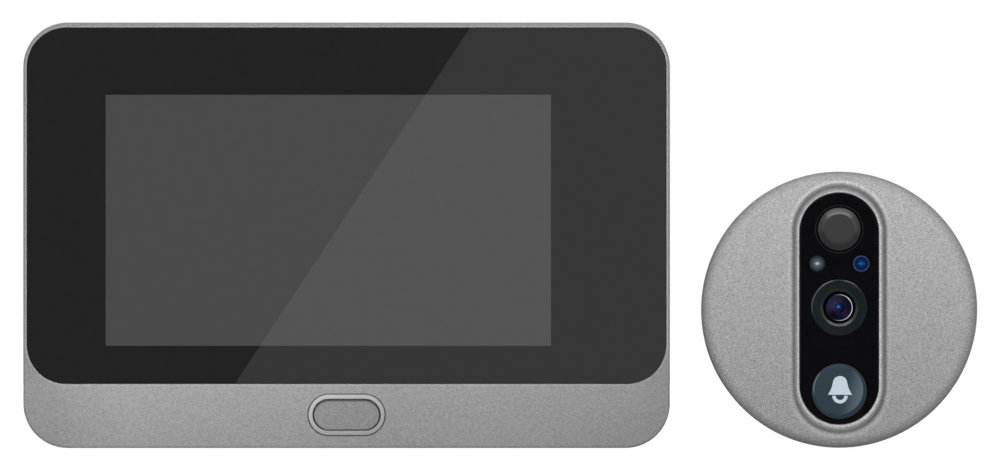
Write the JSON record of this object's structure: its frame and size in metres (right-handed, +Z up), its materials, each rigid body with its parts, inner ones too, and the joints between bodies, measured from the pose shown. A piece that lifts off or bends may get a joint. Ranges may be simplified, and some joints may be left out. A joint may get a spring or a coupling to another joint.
{
  "type": "peephole door camera",
  "caption": "Peephole door viewer: flat indoor monitor with a view button and bracket, beside a round outdoor camera with motion sensor and bell button.",
  "frame": {"origin": "on the door's face behind the monitor, at the middle of the bracket's two fixing holes, which is the peephole's axis", "axes": "+Z up, +Y into the door, fronts of both units face -Y, +X from the monitor towards the outdoor unit"},
  "size_m": [0.2037, 0.0421, 0.0908],
  "materials": {
    "silver_paint": "fine-grained silver paint on plastic",
    "disc_paint": "fine-grained silver paint on plastic",
    "bright_ring": "satin chrome",
    "graphite_plastic": "finely textured moulding",
    "cover_glass": "polished",
    "black_film": "printed and taped film",
    "black_panel": "polished acrylic",
    "foam": "closed-cell foam",
    "display": "polarised display",
    "light_guide": "white light guide",
    "steel": "plated sheet and turned parts",
    "black_steel": "blackened",
    "flex": "polyimide film",
    "circuit_board": "green solder mask",
    "chips": "moulded packages",
    "cream_plastic": "moulded nylon",
    "switch_plastic": "moulded nylon",
    "battery_foil": "laminated foil",
    "wire": "insulated wire",
    "aerial_film": "copper on film",
    "rubber": "moulded rubber",
    "motion_lens": "smoked polyethylene",
    "bezel": "satin moulding",
    "lens": "coated glass",
    "clear_window": "clear light pipe",
    "blue_window": "blue light pipe",
    "slate_key": "satin moulding",
    "bell_sign": "inlaid",
    "brass": "turned"
  },
  "bodies": {
    "door_side": {"wall_bracket": "steel", "face_shell": "disc_paint", "lens_panel": "black_panel", "panel_tape": "black_film", "pir_lens": "motion_lens", "pir_sensor": "steel", "lens_bezel": "bezel", "lens_barrel": "switch_plastic", "front_lens": "lens", "lens_holder": "chips", "image_sensor": "chips", "light_sensor_window": "clear_window", "status_window": "blue_window", "board_lights": "cream_plastic", "bell_seal": "rubber", "bell_switch": "switch_plastic", "outdoor_board": "circuit_board", "outdoor_microphone": "steel", "outdoor_socket": "cream_plastic", "rear_plate": "graphite_plastic", "door_gasket": "foam", "mount_posts": "brass", "plate_screws": "steel"},
    "monitor": {"front_housing": "silver_paint", "key_ring": "bright_ring", "rear_cover": "graphite_plastic", "cover_glass": "cover_glass", "glass_mask": "black_film", "glass_tape": "black_film", "lcd_gasket": "foam", "lcd_panel": "display", "lcd_backlight": "light_guide", "lcd_tray": "steel", "shield_can": "steel", "usb_socket": "steel", "power_switch_body": "steel", "speaker": "steel", "microphone": "steel", "board_screws": "steel", "case_screws": "black_steel", "lcd_flex": "flex", "main_board": "circuit_board", "board_chips": "chips", "flex_socket": "cream_plastic", "cable_socket": "cream_plastic", "battery_plug": "cream_plastic", "view_switch": "switch_plastic", "speaker_cone": "switch_plastic", "battery": "battery_foil", "battery_lead": "wire", "speaker_lead": "wire", "aerial": "aerial_film", "back_pads": "rubber"},
    "view_button": {"view_key": "silver_paint", "view_switch_stem": "cream_plastic"},
    "bell_button": {"bell_key": "slate_key", "bell_sign": "bell_sign", "bell_switch_stem": "cream_plastic"},
    "power_lever": {"power_switch_lever": "switch_plastic"}
  },
  "joints": [
    {"name": "monitor_lift", "type": "slide", "parent": "door_side", "child": "monitor", "axis": [0, 0, 1], "range_m": [0, 0.0055]},
    {"name": "view_press", "type": "slide", "parent": "monitor", "child": "view_button", "axis": [0, 1, 0], "range_m": [0, 0.0004], "stiffness_N_per_m": 1500, "springref_m": -0.0003},
    {"name": "bell_press", "type": "slide", "parent": "door_side", "child": "bell_button", "axis": [0, 1, 0], "range_m": [0, 0.0005], "stiffness_N_per_m": 1500, "springref_m": -0.0003},
    {"name": "power_slide", "type": "slide", "parent": "monitor", "child": "power_lever", "axis": [1, 0, 0], "range_m": [0, 0.002]}
  ]
}
